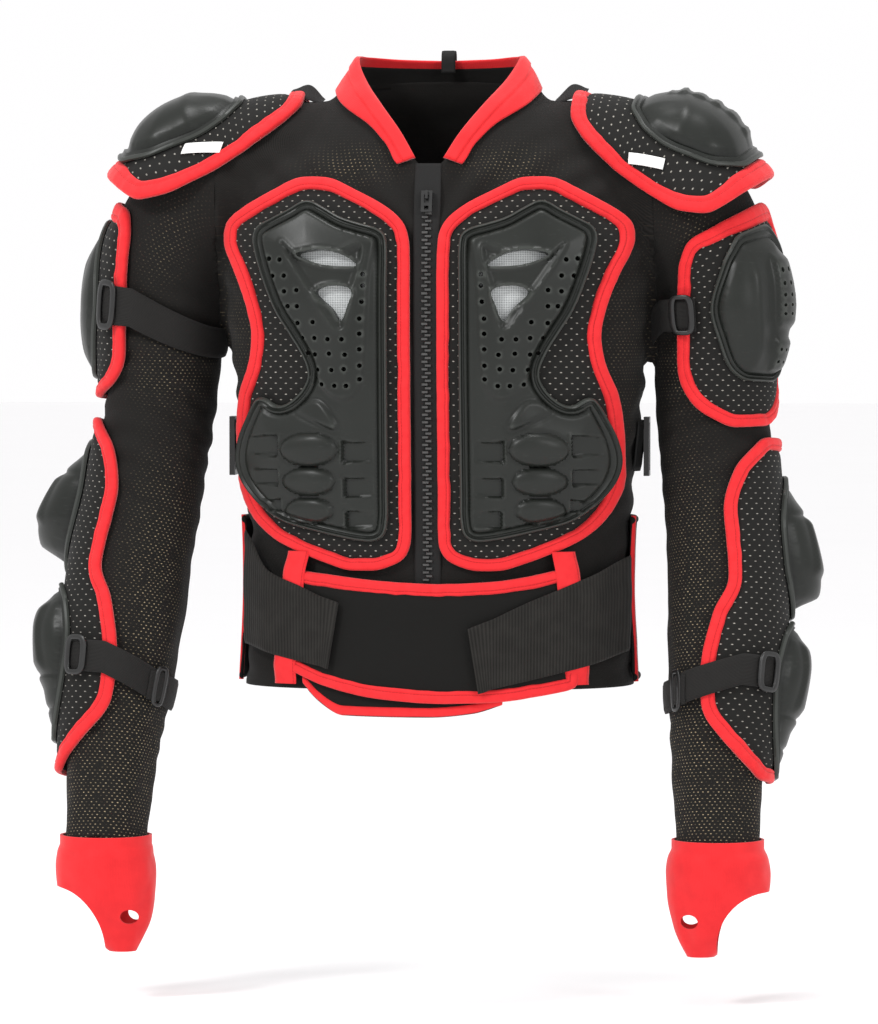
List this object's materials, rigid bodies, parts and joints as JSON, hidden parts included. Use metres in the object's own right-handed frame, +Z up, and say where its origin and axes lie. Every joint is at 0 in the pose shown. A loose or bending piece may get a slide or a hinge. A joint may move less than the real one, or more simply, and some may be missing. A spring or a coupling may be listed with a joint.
{
  "type": "motorcycle armor jacket",
  "caption": "Worn mesh body jacket with padded panels, hard chest, shoulder, arm and elbow plates, red binding, kidney belt, front zip and thumb-loop cuffs",
  "frame": {"origin": "centre of the neck opening at the base of the collar, where the wearer's neck and shoulders carry the jacket", "axes": "+Z up, -Y out of the chest, +X to the wearer's left, on the right of a front view"},
  "size_m": [0.7348, 0.2737, 0.827],
  "materials": {
    "black_mesh": "open knitted mesh",
    "red_binding": "stitched elastic binding",
    "red_knit": "smooth stretch knit",
    "belt_lining": "smooth cloth with a red hem",
    "silver_mesh": "fine woven mesh",
    "white_tag": "bare woven tag",
    "hard_plastic": "satin moulded",
    "black_plastic": "moulded",
    "elastic": "ribbed elastic",
    "webbing": "woven webbing",
    "padding": "perforated padding"
  },
  "bodies": {
    "jacket": {"torso_shell": "black_mesh", "sleeve_left": "black_mesh", "sleeve_right": "black_mesh", "chest_trim_left": "red_binding", "chest_pad_left": "padding", "chest_plate_left": "hard_plastic", "chest_mesh_left": "silver_mesh", "chest_trim_right": "red_binding", "chest_pad_right": "padding", "chest_plate_right": "hard_plastic", "chest_mesh_right": "silver_mesh", "shoulder_trim_left": "red_binding", "shoulder_pad_left": "padding", "shoulder_cap_left": "hard_plastic", "upper_arm_trim_left": "red_binding", "upper_arm_pad_left": "padding", "upper_arm_cap_left": "hard_plastic", "forearm_trim_left": "red_binding", "forearm_pad_left": "padding", "elbow_cap_left": "hard_plastic", "forearm_cap_left": "hard_plastic", "shoulder_trim_right": "red_binding", "shoulder_pad_right": "padding", "shoulder_cap_right": "hard_plastic", "upper_arm_trim_right": "red_binding", "upper_arm_pad_right": "padding", "upper_arm_cap_right": "hard_plastic", "forearm_trim_right": "red_binding", "forearm_pad_right": "padding", "elbow_cap_right": "hard_plastic", "forearm_cap_right": "hard_plastic", "upper_arm_strap_left": "elastic", "upper_arm_ring_left": "black_plastic", "forearm_strap_left": "elastic", "forearm_ring_left": "black_plastic", "upper_arm_strap_right": "elastic", "upper_arm_ring_right": "black_plastic", "forearm_strap_right": "elastic", "forearm_ring_right": "black_plastic", "shoulder_label_left": "white_tag", "shoulder_label_right": "white_tag", "shoulder_strap_left": "webbing", "shoulder_strap_right": "webbing", "collar": "red_knit", "hang_loop": "webbing", "cuff_left": "red_knit", "cuff_right": "red_knit", "belt_trim": "red_binding", "belt_front": "padding", "belt_inner": "belt_lining", "belt_back": "padding", "belt_strap_left": "elastic", "belt_strap_right": "elastic", "side_strap_left": "webbing", "side_buckle_left": "black_plastic", "side_strap_right": "webbing", "side_buckle_right": "black_plastic", "zip_chain": "black_plastic", "zip_slider": "black_plastic"},
    "pull": {"zip_pull": "black_plastic"}
  },
  "joints": [
    {"name": "pull_hinge", "type": "hinge", "parent": "jacket", "child": "pull", "pos_m": [-0.001, -0.12651, -0.09748], "axis": [-1, 0, 0], "range_deg": [0, 150]}
  ]
}
